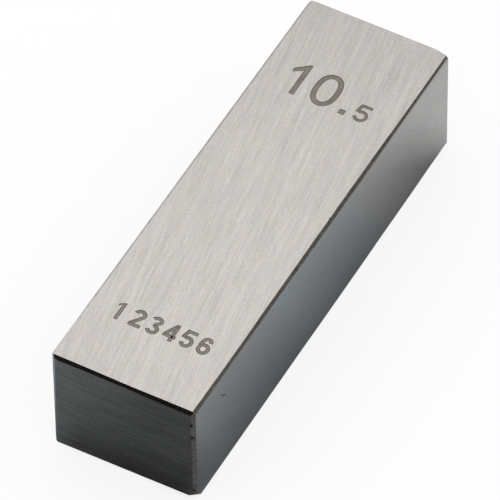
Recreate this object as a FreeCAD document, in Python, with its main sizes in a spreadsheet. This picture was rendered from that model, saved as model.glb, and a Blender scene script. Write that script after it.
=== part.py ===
import FreeCAD, Part
import os

import Sketcher

# A hardened steel gauge block of rectangular section, lying on its plain side face.
#
# Frame: the origin is the centre of the face it lies on, and +Z is up to the marked side face.
# The two lapped measuring faces are at -X and +X, so the gauge length is measured along X.
# The long side of the section runs along Y, and the front end face is at -Y.
# All lengths are in millimetres.

SHEET = "sizes"

# Each size: its name, its value and what it is.
SIZES = (
    ("gauge_length", 10.5, "distance between the two measuring faces"),
    ("block_length", 34.9, "long side of the section, over the end faces"),
    ("block_width", 8.87, "short side of the section, over the side faces"),
    ("end_chamfer", 0.19, "chamfer between an end face and a side face"),
    ("lap_chamfer", 0.2, "chamfer between a measuring face and a side face"),
    ("stoned_front", 0.17, "width of the hand-stoned chamfer at the front end"),
    ("stoned_middle", 0.225, "width of the hand-stoned chamfer at its widest"),
    ("stoned_back", 0.12, "width of the hand-stoned chamfer at the back end"),
    ("stoned_offset", 1.0, "widest place of the hand-stoned chamfer, behind the middle"),
    ("front_left_x", 0.35, "front left corner cut, along the end face"),
    ("front_left_y", 0.23, "front left corner cut, along the measuring face"),
    ("front_right_x", 0.24, "front right corner cut, along the end face"),
    ("front_right_y", 0.3, "front right corner cut, along the measuring face"),
    ("back_left_x", 0.49, "back left corner cut, along the end face"),
    ("back_left_y", 0.27, "back left corner cut, along the measuring face"),
    ("back_right_x", 0.95, "back right corner round, along the end face"),
    ("back_right_y", 0.28, "back right corner round, along the measuring face"),
)

# The hand-stoned chamfer is ruled between these stations. Each has its width and its place
# along Y, both as expressions of the sheet.
STONED_STATIONS = (
    ("sizes.stoned_front", "-sizes.block_length / 2"),
    ("sizes.stoned_middle", "sizes.stoned_offset"),
    ("sizes.stoned_back", "sizes.block_length / 2"),
)

# Sketcher's numbers for the root point, and for the start and end of a line or an arc.
ROOT = (-1, 1)
START = 1
END = 2


def make_sheet(doc):
    """Write the driving sizes, one to a row, and give each value its name."""
    sheet = doc.addObject("Spreadsheet::Sheet", SHEET)
    for row, (name, value, meaning) in enumerate(SIZES, 1):
        sheet.set(f"A{row}", name)
        sheet.set(f"B{row}", str(value))
        sheet.set(f"C{row}", meaning)
        sheet.setAlias(f"B{row}", name)
    doc.recompute()
    return sheet


def new_sketch(body, name, role):
    """Add a sketch that lies on one of the body's own origin planes."""
    sketch = body.newObject("Sketcher::SketchObject", name)
    plane = next(item for item in body.Origin.OriginFeatures if item.Role == role)
    sketch.AttachmentSupport = (plane, "")
    sketch.MapMode = "FlatFace"
    return sketch


def measure(sketch, kind, first, second, expression):
    """Bind the distance along X or Y from one point to another to an expression."""
    gap = sketch.getPoint(*second) - sketch.getPoint(*first)
    drawn = gap.x if kind == "DistanceX" else gap.y
    index = sketch.addConstraint(Sketcher.Constraint(kind, *first, *second, drawn))
    sketch.setExpression(f"Constraints[{index}]", expression)


def corner_arc(end_face_point, side_point):
    """Make the arc that leaves the back end face smoothly and reaches the measuring face.

    It runs from the point on the measuring face to the point on the end face, where the
    end face is its tangent.
    """
    run = side_point.x - end_face_point.x
    drop = end_face_point.y - side_point.y
    radius = (run**2 + drop**2) / (2 * drop)
    centre = end_face_point - FreeCAD.Vector(0, radius)
    halfway = ((side_point + end_face_point) / 2 - centre).normalize()
    return Part.Arc(side_point, centre + halfway * radius, end_face_point)


def make_plan(body, sheet):
    """Draw the outline of the block in plan, with its four worked corners.

    Three corners are cut flat, each to its own two sizes. The back right one is rounded.
    """
    x = sheet.gauge_length / 2
    y = sheet.block_length / 2
    front_left = FreeCAD.Vector(sheet.front_left_x - x, -y)
    front_right = FreeCAD.Vector(x - sheet.front_right_x, -y)
    right_front = FreeCAD.Vector(x, sheet.front_right_y - y)
    right_back = FreeCAD.Vector(x, y - sheet.back_right_y)
    back_right = FreeCAD.Vector(x - sheet.back_right_x, y)
    back_left = FreeCAD.Vector(sheet.back_left_x - x, y)
    left_back = FreeCAD.Vector(-x, y - sheet.back_left_y)
    left_front = FreeCAD.Vector(-x, sheet.front_left_y - y)

    sketch = new_sketch(body, "plan", "XY_Plane")
    front = sketch.addGeometry(Part.LineSegment(front_left, front_right))
    front_right_cut = sketch.addGeometry(Part.LineSegment(front_right, right_front))
    right = sketch.addGeometry(Part.LineSegment(right_front, right_back))
    back_right_round = sketch.addGeometry(corner_arc(back_right, right_back))
    back = sketch.addGeometry(Part.LineSegment(back_right, back_left))
    back_left_cut = sketch.addGeometry(Part.LineSegment(back_left, left_back))
    left = sketch.addGeometry(Part.LineSegment(left_back, left_front))
    front_left_cut = sketch.addGeometry(Part.LineSegment(left_front, front_left))

    right_side = (front_right_cut, right, back_right_round)
    left_side = (back_left_cut, left, front_left_cut)
    outline = (front, *right_side, back, *left_side)
    for piece, following in zip(outline, outline[1:] + outline[:1]):
        kind = "Tangent" if piece == back_right_round else "Coincident"
        sketch.addConstraint(Sketcher.Constraint(kind, piece, END, following, START))
    for face in (front, back):
        sketch.addConstraint(Sketcher.Constraint("Horizontal", face))
    for face in (right, left):
        sketch.addConstraint(Sketcher.Constraint("Vertical", face))

    measure(sketch, "DistanceX", ROOT, (right, START), "sizes.gauge_length / 2")
    measure(sketch, "DistanceX", (left, START), ROOT, "sizes.gauge_length / 2")
    measure(sketch, "DistanceY", (front, START), ROOT, "sizes.block_length / 2")
    measure(sketch, "DistanceY", ROOT, (back, START), "sizes.block_length / 2")
    measure(sketch, "DistanceX", (front, END), (right, START), "sizes.front_right_x")
    measure(sketch, "DistanceY", (front, END), (right, START), "sizes.front_right_y")
    measure(sketch, "DistanceX", (back, START), (right, END), "sizes.back_right_x")
    measure(sketch, "DistanceY", (right, END), (back, START), "sizes.back_right_y")
    measure(sketch, "DistanceX", (left, START), (back, END), "sizes.back_left_x")
    measure(sketch, "DistanceY", (left, START), (back, END), "sizes.back_left_y")
    measure(sketch, "DistanceX", (left, END), (front, START), "sizes.front_left_x")
    measure(sketch, "DistanceY", (front, START), (left, END), "sizes.front_left_y")
    return sketch


def edges_along(shape, direction):
    """Name the straight edges of a shape that run along a direction."""
    names = []
    for number, edge in enumerate(shape.Edges, 1):
        if isinstance(edge.Curve, Part.Line):
            if edge.Curve.Direction.cross(direction).Length < Part.Precision.angular():
                names.append(f"Edge{number}")
    return names


def add_chamfer(body, name, base, edges, size):
    """Chamfer the named edges of the feature before it by an equal distance."""
    chamfer = body.newObject("PartDesign::Chamfer", name)
    chamfer.Base = (base, edges)
    chamfer.setExpression("Size", size)
    return chamfer


def make_stoned_section(body, sheet, number, width, place):
    """Draw what the stone takes off the edge at one station.

    It is a right triangle in the corner between the marked side face and the right
    measuring face, with both legs as long as the chamfer is wide there.
    """
    corner = FreeCAD.Vector(sheet.gauge_length / 2, sheet.block_width)
    inward = corner - FreeCAD.Vector(sheet.lap_chamfer, 0)
    below = corner - FreeCAD.Vector(0, sheet.lap_chamfer)

    sketch = new_sketch(body, f"stoned_section_{number}", "XZ_Plane")
    # The XZ plane faces -Y, so a place along Y is a negative offset from it.
    sketch.setExpression(".AttachmentOffset.Base.z", f"-({place})")
    top = sketch.addGeometry(Part.LineSegment(inward, corner))
    side = sketch.addGeometry(Part.LineSegment(corner, below))
    slope = sketch.addGeometry(Part.LineSegment(below, inward))
    for line, following in ((top, side), (side, slope), (slope, top)):
        sketch.addConstraint(Sketcher.Constraint("Coincident", line, END, following, START))
    sketch.addConstraint(Sketcher.Constraint("Horizontal", top))
    sketch.addConstraint(Sketcher.Constraint("Vertical", side))
    measure(sketch, "DistanceX", ROOT, (top, END), "sizes.gauge_length / 2")
    measure(sketch, "DistanceY", ROOT, (top, END), "sizes.block_width")
    measure(sketch, "DistanceX", (top, START), (top, END), width)
    measure(sketch, "DistanceY", (side, END), (side, START), width)
    return sketch


def make_block(doc, sheet):
    """Build the block: its prism, its end chamfers and its four long chamfers."""
    body = doc.addObject("PartDesign::Body", "gauge_block")
    body.Label = "gauge_block"
    body.Placement = FreeCAD.Placement()

    blank = body.newObject("PartDesign::Pad", "blank")
    blank.Profile = make_plan(body, sheet)
    blank.setExpression("Length", "sizes.block_width")
    doc.recompute()

    end_edges = edges_along(blank.Shape, FreeCAD.Vector(1, 0, 0))
    ends = add_chamfer(body, "end_chamfers", blank, end_edges, "sizes.end_chamfer")
    doc.recompute()

    # The long edge between the marked side face and the right measuring face is stoned by
    # hand, and the other three have an even chamfer.
    highest = FreeCAD.Vector(sheet.gauge_length / 2, 0, sheet.block_width)
    long_edges = edges_along(ends.Shape, FreeCAD.Vector(0, 1, 0))
    even_edges = [
        name
        for name in long_edges
        if ends.Shape.getElement(name).distToShape(Part.Vertex(highest))[0] > sheet.lap_chamfer
    ]
    laps = add_chamfer(body, "lap_chamfers", ends, even_edges, "sizes.lap_chamfer")
    doc.recompute()

    sections = [
        make_stoned_section(body, sheet, number, width, place)
        for number, (width, place) in enumerate(STONED_STATIONS, 1)
    ]
    stoned = body.newObject("PartDesign::SubtractiveLoft", "stoned_chamfer")
    stoned.Profile = sections[0]
    stoned.Sections = sections[1:]
    stoned.Ruled = True
    doc.recompute()
    if not stoned.Shape.Volume < laps.Shape.Volume:
        raise RuntimeError("the stoned chamfer takes nothing off the block")
    return body


def check(doc, bodies):
    """Stop if any object of the document failed or a body is not a valid solid."""
    for item in doc.Objects:
        if {"Invalid", "Error"} & set(item.State):
            raise RuntimeError(f"{item.Name} failed: {item.State}")
    for body in bodies:
        if body.Shape.isNull() or not body.Shape.isValid():
            raise RuntimeError(f"{body.Label} has no valid shape")


def main():
    """Build the document, check it and write one STEP file to each sub-part."""
    doc = FreeCAD.newDocument("gauge_block_source")
    sheet = make_sheet(doc)
    bodies = [make_block(doc, sheet)]
    doc.recompute()
    check(doc, bodies)
    os.makedirs("parts", exist_ok=True)
    for body in bodies:
        body.Shape.exportStep(f"parts/{body.Label}.step")
        print(f"{body.Label}: {len(body.Shape.Faces)} faces, {body.Shape.Volume:.2f} mm3")


main()
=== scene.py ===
"""Looks of a steel gauge block: one ground, lapped and marked piece on a pale studio floor.

The block is shaped here in millimetres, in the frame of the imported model, and brought to
metres when its mesh is done. It lies on its plain side face: +X is square to the right
measuring face, -Y to the front end face and +Z to the marked side face.
"""

from __future__ import annotations

import logging
import math
import random
from dataclasses import dataclass, field
from enum import Enum

import bmesh
import bpy
from mathutils import Matrix, Vector, noise

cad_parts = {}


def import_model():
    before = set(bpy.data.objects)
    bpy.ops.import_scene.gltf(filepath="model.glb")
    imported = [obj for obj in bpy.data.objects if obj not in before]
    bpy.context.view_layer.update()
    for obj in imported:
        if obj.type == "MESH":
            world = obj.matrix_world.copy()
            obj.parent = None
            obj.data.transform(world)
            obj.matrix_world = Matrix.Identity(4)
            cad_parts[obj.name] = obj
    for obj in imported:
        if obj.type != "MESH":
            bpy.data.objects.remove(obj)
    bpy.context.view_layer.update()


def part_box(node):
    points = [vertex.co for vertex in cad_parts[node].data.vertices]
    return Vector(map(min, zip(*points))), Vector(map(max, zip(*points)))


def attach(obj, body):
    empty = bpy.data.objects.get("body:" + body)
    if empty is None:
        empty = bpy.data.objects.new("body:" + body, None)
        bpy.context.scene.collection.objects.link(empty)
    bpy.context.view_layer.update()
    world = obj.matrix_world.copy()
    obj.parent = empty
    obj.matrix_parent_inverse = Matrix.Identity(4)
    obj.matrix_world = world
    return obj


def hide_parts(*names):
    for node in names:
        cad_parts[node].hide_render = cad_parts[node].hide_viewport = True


MM = 0.001
NODE = "gauge_block"
BODY = "root"

Point = tuple[float, float]
Triple = tuple[float, float, float]
Socket = bpy.types.NodeSocket
Material = bpy.types.Material
Piece = bpy.types.Object
Form = bmesh.types.BMesh
BorderEdge = bmesh.types.BMEdge

log = logging.getLogger("gauge_block")

# How far a joint between two strokes may run out, as the cosine of half its turn.
SHARPEST_MITRE = 0.3
# How close a point counts as on a face or on a cutting plane, in millimetres.
ON_FACE = 1e-4
ON_PLANE = 1e-6
# The shortest border of a flat that is given uneven borders, in millimetres.
SHORTEST_BORDER = 1.0


# ---------------------------------------------------------------------------------------
# Surfaces and finishes
# ---------------------------------------------------------------------------------------


class Surface(Enum):
    """The kinds of surface on the block, by the way each was worked."""

    SIDE = 0
    END = 1
    MEASURING = 2
    STONED_EDGE = 3
    END_EDGE = 4
    CORNER = 5
    ETCHED = 6
    ETCHED_OUTLINE = 7
    NICK = 8


class Trees:
    """Short cuts for laying nodes in a tree."""

    def __init__(self, tree: bpy.types.NodeTree) -> None:
        """Work on one node tree.

        Args:
            tree: The tree that gets the nodes.
        """
        self.tree = tree
        self.placed = 0

    def add(self, kind: str, **settings: object) -> bpy.types.Node:
        """Add a node and set its properties.

        Args:
            kind: The node's type name.
            settings: Properties of the node by name.

        Returns:
            The new node.
        """
        node = self.tree.nodes.new(kind)
        for name, value in settings.items():
            setattr(node, name, value)
        node.location = (180.0 * self.placed, 0.0)
        self.placed += 1
        return node

    def feed(self, socket: Socket, source: object) -> None:
        """Give an input a link or a fixed value.

        Args:
            socket: The input.
            source: An output socket to link, or a value to set.
        """
        if isinstance(source, Socket):
            self.tree.links.new(source, socket)
        else:
            socket.default_value = source

    def math(
        self, operation: str, first: object, second: object = 0.0, third: object = 0.0
    ) -> Socket:
        """Add a Math node.

        Args:
            operation: The operation's name.
            first: First value or socket.
            second: Second value or socket.
            third: Third value or socket.

        Returns:
            The result socket.
        """
        node = self.add("ShaderNodeMath", operation=operation)
        for socket, source in zip(node.inputs, (first, second, third)):
            self.feed(socket, source)
        return node.outputs[0]

    def range(self, value: object, low: object, high: object, to_low: object, to_high: object) -> Socket:
        """Map a value smoothly from one range to another, clamped.

        Args:
            value: The value or socket.
            low: Where the first range starts.
            high: Where it ends.
            to_low: Result at low.
            to_high: Result at high.

        Returns:
            The mapped value's socket.
        """
        node = self.add("ShaderNodeMapRange", interpolation_type="SMOOTHSTEP")
        for name, source in (
            ("Value", value),
            ("From Min", low),
            ("From Max", high),
            ("To Min", to_low),
            ("To Max", to_high),
        ):
            self.feed(node.inputs[name], source)
        return node.outputs["Result"]

    def noise(self, vector: object, scale: float, detail: float, roughness: float = 0.5) -> Socket:
        """Add a noise texture.

        Args:
            vector: Coordinates socket.
            scale: Cells for each unit of the coordinates.
            detail: Octaves.
            roughness: Weight of the finer octaves.

        Returns:
            The noise value's socket.
        """
        node = self.add("ShaderNodeTexNoise")
        self.feed(node.inputs["Vector"], vector)
        node.inputs["Scale"].default_value = scale
        node.inputs["Detail"].default_value = detail
        node.inputs["Roughness"].default_value = roughness
        return node.outputs["Fac"]

    def blend(self, share: object, first: object, second: object) -> Socket:
        """Mix two values.

        Args:
            share: Share of the second value.
            first: First value or socket.
            second: Second value or socket.

        Returns:
            The mixed value's socket.
        """
        node = self.add("ShaderNodeMix", data_type="FLOAT")
        self.feed(node.inputs[0], share)
        self.feed(node.inputs[2], first)
        self.feed(node.inputs[3], second)
        return node.outputs[0]

    def hump(self, value: object, middle: float, reach: float, base: float, rise: float) -> Socket:
        """Make a smooth hump over a value.

        Args:
            value: The value or socket.
            middle: Where the hump is highest.
            reach: Half its width.
            base: Level far from it.
            rise: How far it rises above that.

        Returns:
            The hump's socket.
        """
        away = self.math("MULTIPLY_ADD", value, 1.0 / reach, -middle / reach)
        fall = self.math("MULTIPLY", self.math("MULTIPLY", away, away), -1.0)
        return self.math("MULTIPLY_ADD", self.math("EXPONENT", fall), rise, base)

    def mix(self, factor: object, first: object, second: object) -> Socket:
        """Mix two colours.

        Args:
            factor: Share of the second colour.
            first: First colour or socket.
            second: Second colour or socket.

        Returns:
            The mixed colour's socket.
        """
        node = self.add("ShaderNodeMix", data_type="RGBA")
        self.feed(node.inputs[0], factor)
        self.feed(node.inputs[6], first)
        self.feed(node.inputs[7], second)
        return node.outputs[2]

    def place(self, scale: object = 1.0 / MM) -> Socket:
        """Read the place on the object.

        Args:
            scale: Units to a metre, as a value or socket; millimetres if left out.

        Returns:
            The coordinates' socket.
        """
        return self.scaled(self.add("ShaderNodeTexCoord").outputs["Object"], scale)

    def scaled(self, vector: object, scale: object) -> Socket:
        """Scale a vector or a colour.

        Args:
            vector: The vector or its socket.
            scale: The value or socket to scale it by.

        Returns:
            The scaled vector's socket.
        """
        node = self.add("ShaderNodeVectorMath", operation="SCALE")
        self.feed(node.inputs[0], vector)
        self.feed(node.inputs["Scale"], scale)
        return node.outputs[0]

    def parts(self, vector: Socket) -> tuple[Socket, ...]:
        """Part a vector into its X, Y and Z."""
        node = self.add("ShaderNodeSeparateXYZ")
        self.feed(node.inputs[0], vector)
        return tuple(node.outputs)

    def show(self, shader: bpy.types.Node, kind: str = "ShaderNodeOutputMaterial") -> None:
        """Make a shader the surface of the material or world.

        Args:
            shader: The shader's node.
            kind: Type name of the output node.
        """
        self.feed(self.add(kind).inputs["Surface"], shader.outputs[0])


def cleared(owner: Material | bpy.types.World) -> Trees:
    """Turn the nodes of a material or world on and clear them.

    Args:
        owner: The material or world.

    Returns:
        The helper that lays its nodes.
    """
    owner.use_nodes = True
    owner.node_tree.nodes.clear()
    return Trees(owner.node_tree)


def new_group(
    name: str, inputs: dict[str, float], outputs: tuple[str, ...]
) -> tuple[bpy.types.NodeTree, Trees]:
    """Make an empty shader node group with value sockets.

    Args:
        name: The group's name.
        inputs: Default value of each input by name.
        outputs: Names of the outputs.

    Returns:
        The group and the helper that lays its nodes.
    """
    group = bpy.data.node_groups.new(name, "ShaderNodeTree")
    for label, value in inputs.items():
        socket = group.interface.new_socket(label, in_out="INPUT", socket_type="NodeSocketFloat")
        socket.default_value = value
    for label in outputs:
        group.interface.new_socket(label, in_out="OUTPUT", socket_type="NodeSocketFloat")
    return group, Trees(group)


class SharedEffects:
    """Node groups that several finishes use, each built once."""

    def __init__(self, top: float) -> None:
        """Build the groups.

        Args:
            top: Height of the marked face, in millimetres.
        """
        self.grain = self._grain()
        self.scratches = self._scratches()
        self.haze = self._haze()
        self.speckle = self._speckle()
        self.border_shade = self._border_shade(top)

    @staticmethod
    def _grain() -> bpy.types.NodeTree:
        """Build the grinding grain: fine, middle and broad streaks that run one way.

        Lean and Tilt turn the grain about Z and X. Width, Length and Height are the size of the
        finest streak along the turned X, Y and Z, in millimetres.

        Returns:
            The node group.
        """
        group, lay = new_group(
            "grinding grain",
            {"Lean": 0.0, "Tilt": 0.0, "Width": 0.1, "Length": 3.0, "Height": 0.1},
            ("Streaks", "Bands"),
        )
        ends = lay.add("NodeGroupInput")
        turn = lay.add("ShaderNodeCombineXYZ")
        lay.feed(turn.inputs["X"], ends.outputs["Tilt"])
        lay.feed(turn.inputs["Z"], ends.outputs["Lean"])
        turned = lay.add("ShaderNodeVectorRotate", rotation_type="EULER_XYZ")
        lay.feed(turned.inputs["Vector"], lay.place())
        lay.feed(turned.inputs["Rotation"], turn.outputs[0])
        stretch = lay.add("ShaderNodeCombineXYZ")
        for axis, label in (("X", "Width"), ("Y", "Length"), ("Z", "Height")):
            lay.feed(stretch.inputs[axis], ends.outputs[label])
        stretched = lay.add("ShaderNodeVectorMath", operation="DIVIDE")
        lay.feed(stretched.inputs[0], turned.outputs[0])
        lay.feed(stretched.inputs[1], stretch.outputs[0])
        fine = lay.noise(stretched.outputs[0], 1.0, 2.0, 0.6)
        middle = lay.noise(stretched.outputs[0], 0.31, 2.0, 0.6)
        broad = lay.noise(stretched.outputs[0], 0.07, 2.0, 0.55)
        streaks = lay.math("MULTIPLY_ADD", middle, 0.45, lay.math("MULTIPLY", fine, 0.55))
        outs = lay.add("NodeGroupOutput")
        lay.feed(outs.inputs["Streaks"], streaks)
        lay.feed(outs.inputs["Bands"], broad)
        return group

    @staticmethod
    def _scratches() -> bpy.types.NodeTree:
        """Build stray handling scratches: sparse thin curved lines and specks.

        Amount is the share of the surface where a scratch may lie, and Size is the spacing in
        millimetres.

        Returns:
            The node group.
        """
        group, lay = new_group("stray scratches", {"Amount": 0.3, "Size": 3.0}, ("Scratches", "Specks"))
        ends = lay.add("NodeGroupInput")
        place = lay.place(lay.math("DIVIDE", 1.0 / MM, ends.outputs["Size"]))
        line = lay.add("ShaderNodeTexVoronoi", feature="DISTANCE_TO_EDGE")
        line.inputs["Scale"].default_value = 0.55
        lay.feed(line.inputs["Vector"], place)
        thin = lay.range(line.outputs["Distance"], 0.0, 0.012, 1.0, 0.0)
        cover = lay.noise(place, 1.3, 1.0)
        allowed = lay.range(cover, lay.math("SUBTRACT", 1.0, ends.outputs["Amount"]), 1.0, 0.0, 1.0)
        dots = lay.add("ShaderNodeTexVoronoi", feature="F1")
        dots.inputs["Scale"].default_value = 2.3
        lay.feed(dots.inputs["Vector"], place)
        speck = lay.range(dots.outputs["Distance"], 0.02, 0.06, 1.0, 0.0)
        outs = lay.add("NodeGroupOutput")
        lay.feed(outs.inputs["Scratches"], lay.math("MULTIPLY", thin, allowed))
        lay.feed(outs.inputs["Specks"], lay.math("MULTIPLY", speck, allowed))
        return group

    @staticmethod
    def _haze() -> bpy.types.NodeTree:
        """Build the soft unevenness that oil film and handling leave on bright steel.

        Size is the size of a patch in millimetres.

        Returns:
            The node group.
        """
        group, lay = new_group("handling haze", {"Size": 4.0}, ("Haze",))
        ends = lay.add("NodeGroupInput")
        place = lay.place(lay.math("DIVIDE", 1.0 / MM, ends.outputs["Size"]))
        outs = lay.add("NodeGroupOutput")
        lay.feed(outs.inputs["Haze"], lay.noise(place, 1.0, 3.0, 0.55))
        return group

    @staticmethod
    def _speckle() -> bpy.types.NodeTree:
        """Build the sparkle of single grits: fine even specks of light, and of warmth.

        Size is the size of a speck in millimetres. Both results lie about zero.

        Returns:
            The node group.
        """
        group, lay = new_group("grit speckle", {"Size": 0.09}, ("Light", "Warmth"))
        ends = lay.add("NodeGroupInput")
        place = lay.place(lay.math("DIVIDE", 1.0 / MM, ends.outputs["Size"]))
        shifted = lay.add("ShaderNodeVectorMath", operation="ADD")
        lay.feed(shifted.inputs[0], place)
        lay.feed(shifted.inputs[1], (91.0, 37.0, 53.0))
        outs = lay.add("NodeGroupOutput")
        for label, vector, size in (("Light", place, 1.0), ("Warmth", shifted.outputs[0], 0.6)):
            speck = lay.noise(vector, size, 1.0)
            lay.feed(outs.inputs[label], lay.math("MULTIPLY_ADD", speck, 2.0, -1.0))
        return group

    @staticmethod
    def _border_shade(top: float) -> bpy.types.NodeTree:
        """Build the painted shade in a border below the marked face, wider to the back.

        Args:
            top: Height of the marked face, in millimetres.

        Returns:
            The node group.
        """
        group, lay = new_group("painted border shade", {}, ("PaintedShade",))
        place = lay.place()
        _, y, z = lay.parts(place)
        uneven = lay.math("MULTIPLY_ADD", lay.noise(place, 1.1, 1.0), 0.14, -0.07)
        reach = lay.math("ADD", lay.range(y, -4.0, 6.0, 0.22, 0.44), uneven)
        depth = lay.math("SUBTRACT", top, z)
        fades = lay.range(depth, lay.math("SUBTRACT", reach, 0.2), reach, 1.0, 0.0)
        outs = lay.add("NodeGroupOutput")
        lay.feed(outs.inputs["PaintedShade"], lay.math("MULTIPLY", fades, lay.range(y, -6.0, 3.0, 0.3, 1.0)))
        return group


@dataclass(frozen=True)
class Grain:
    """How a surface was ground or stoned.

    Attributes:
        lean: Turn of the streaks about Z that brings them along Y, in degrees.
        tilt: Turn about X, in degrees.
        cell: Size of the finest streak along the turned X, Y and Z, in millimetres.
    """

    lean: float
    tilt: float
    cell: Triple


@dataclass(frozen=True)
class SteelFinish:
    """One finish of the steel, with its colour, gloss and marks.

    Attributes:
        name: Name of the material.
        colour: Reflected colour at its plain level.
        roughness: Middle roughness.
        grain: Direction and size of the streaks.
        streak_shade: Share by which streaks change the colour.
        band_shade: Share by which broad bands change the colour.
        haze_shade: Share by which handling haze changes the colour.
        streak_gloss: Change of roughness from streak to streak.
        relief: Height of the streaks, in millimetres.
        scratch_amount: Share of the surface where stray scratches lie.
        haze_size: Size of a patch of haze, in millimetres.
        speck_shade: Share by which single grits change the brightness.
        speck_tint: Share by which single grits change the warmth.
        painted_border_shade: Share of painted shade in the border beside the stoned edge.
        metallic: How far the surface acts as bare metal.
    """

    name: str
    colour: Triple
    roughness: float
    grain: Grain
    streak_shade: float = 0.1
    band_shade: float = 0.06
    haze_shade: float = 0.03
    streak_gloss: float = 0.05
    relief: float = 0.0006
    scratch_amount: float = 0.3
    haze_size: float = 4.0
    speck_shade: float = 0.1
    speck_tint: float = 0.05
    painted_border_shade: float = 0.0
    metallic: float = 1.0

    def material(self, effects: SharedEffects) -> Material:
        """Make the material of this finish.

        Args:
            effects: The shared node groups.

        Returns:
            The material.
        """
        made = bpy.data.materials.new(self.name)
        lay = cleared(made)
        grain = lay.add("ShaderNodeGroup", node_tree=effects.grain)
        grain.inputs["Lean"].default_value = math.radians(self.grain.lean)
        grain.inputs["Tilt"].default_value = math.radians(self.grain.tilt)
        for label, size in zip(("Width", "Length", "Height"), self.grain.cell):
            grain.inputs[label].default_value = size
        scratch = lay.add("ShaderNodeGroup", node_tree=effects.scratches)
        scratch.inputs["Amount"].default_value = self.scratch_amount
        haze = lay.add("ShaderNodeGroup", node_tree=effects.haze)
        haze.inputs["Size"].default_value = self.haze_size

        shade, bands, film = (
            lay.math("MULTIPLY_ADD", uneven, 2.0 * share, 1.0 - share)
            for uneven, share in (
                (grain.outputs["Streaks"], self.streak_shade),
                (grain.outputs["Bands"], self.band_shade),
                (haze.outputs["Haze"], self.haze_shade),
            )
        )
        grit = lay.add("ShaderNodeGroup", node_tree=effects.speckle)
        sparkle = lay.math("MULTIPLY_ADD", grit.outputs["Light"], self.speck_shade, 1.0)
        level = lay.math("MULTIPLY", lay.math("MULTIPLY", shade, bands), film)
        level = lay.math("MULTIPLY", level, sparkle)
        # Painted shade: a darker border just below the stoned edge.
        if self.painted_border_shade:
            border_shade = lay.add("ShaderNodeGroup", node_tree=effects.border_shade)
            shaded = lay.math("MULTIPLY_ADD", border_shade.outputs["PaintedShade"], -self.painted_border_shade, 1.0)
            level = lay.math("MULTIPLY", level, shaded)
        level = lay.math("MULTIPLY_ADD", scratch.outputs["Specks"], -0.25, level)
        warm = lay.math("MULTIPLY_ADD", grit.outputs["Warmth"], self.speck_tint, 1.0)
        cool = lay.math("MULTIPLY_ADD", grit.outputs["Warmth"], -self.speck_tint, 1.0)
        tint = lay.add("ShaderNodeCombineXYZ")
        lay.feed(tint.inputs["X"], lay.math("MULTIPLY", warm, self.colour[0]))
        tint.inputs["Y"].default_value = self.colour[1]
        lay.feed(tint.inputs["Z"], lay.math("MULTIPLY", cool, self.colour[2]))
        tone = lay.scaled(tint.outputs[0], level)

        smoothest = self.roughness - self.streak_gloss
        gloss = lay.math("MULTIPLY_ADD", grain.outputs["Streaks"], 2.0 * self.streak_gloss, smoothest)
        gloss = lay.math("MULTIPLY_ADD", scratch.outputs["Scratches"], 0.12, gloss)

        height = lay.math("MULTIPLY_ADD", scratch.outputs["Scratches"], -0.6, grain.outputs["Streaks"])
        bump = lay.add("ShaderNodeBump")
        bump.inputs["Strength"].default_value = 1.0
        bump.inputs["Distance"].default_value = self.relief * MM
        lay.feed(bump.inputs["Height"], height)

        shader = lay.add("ShaderNodeBsdfPrincipled")
        shader.inputs["Metallic"].default_value = self.metallic
        lay.feed(shader.inputs["Base Color"], tone)
        lay.feed(shader.inputs["Roughness"], gloss)
        lay.feed(shader.inputs["Normal"], bump.outputs["Normal"])
        lay.show(shader)
        return made


LEAN = -9.0
LYING = 90.0

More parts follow.
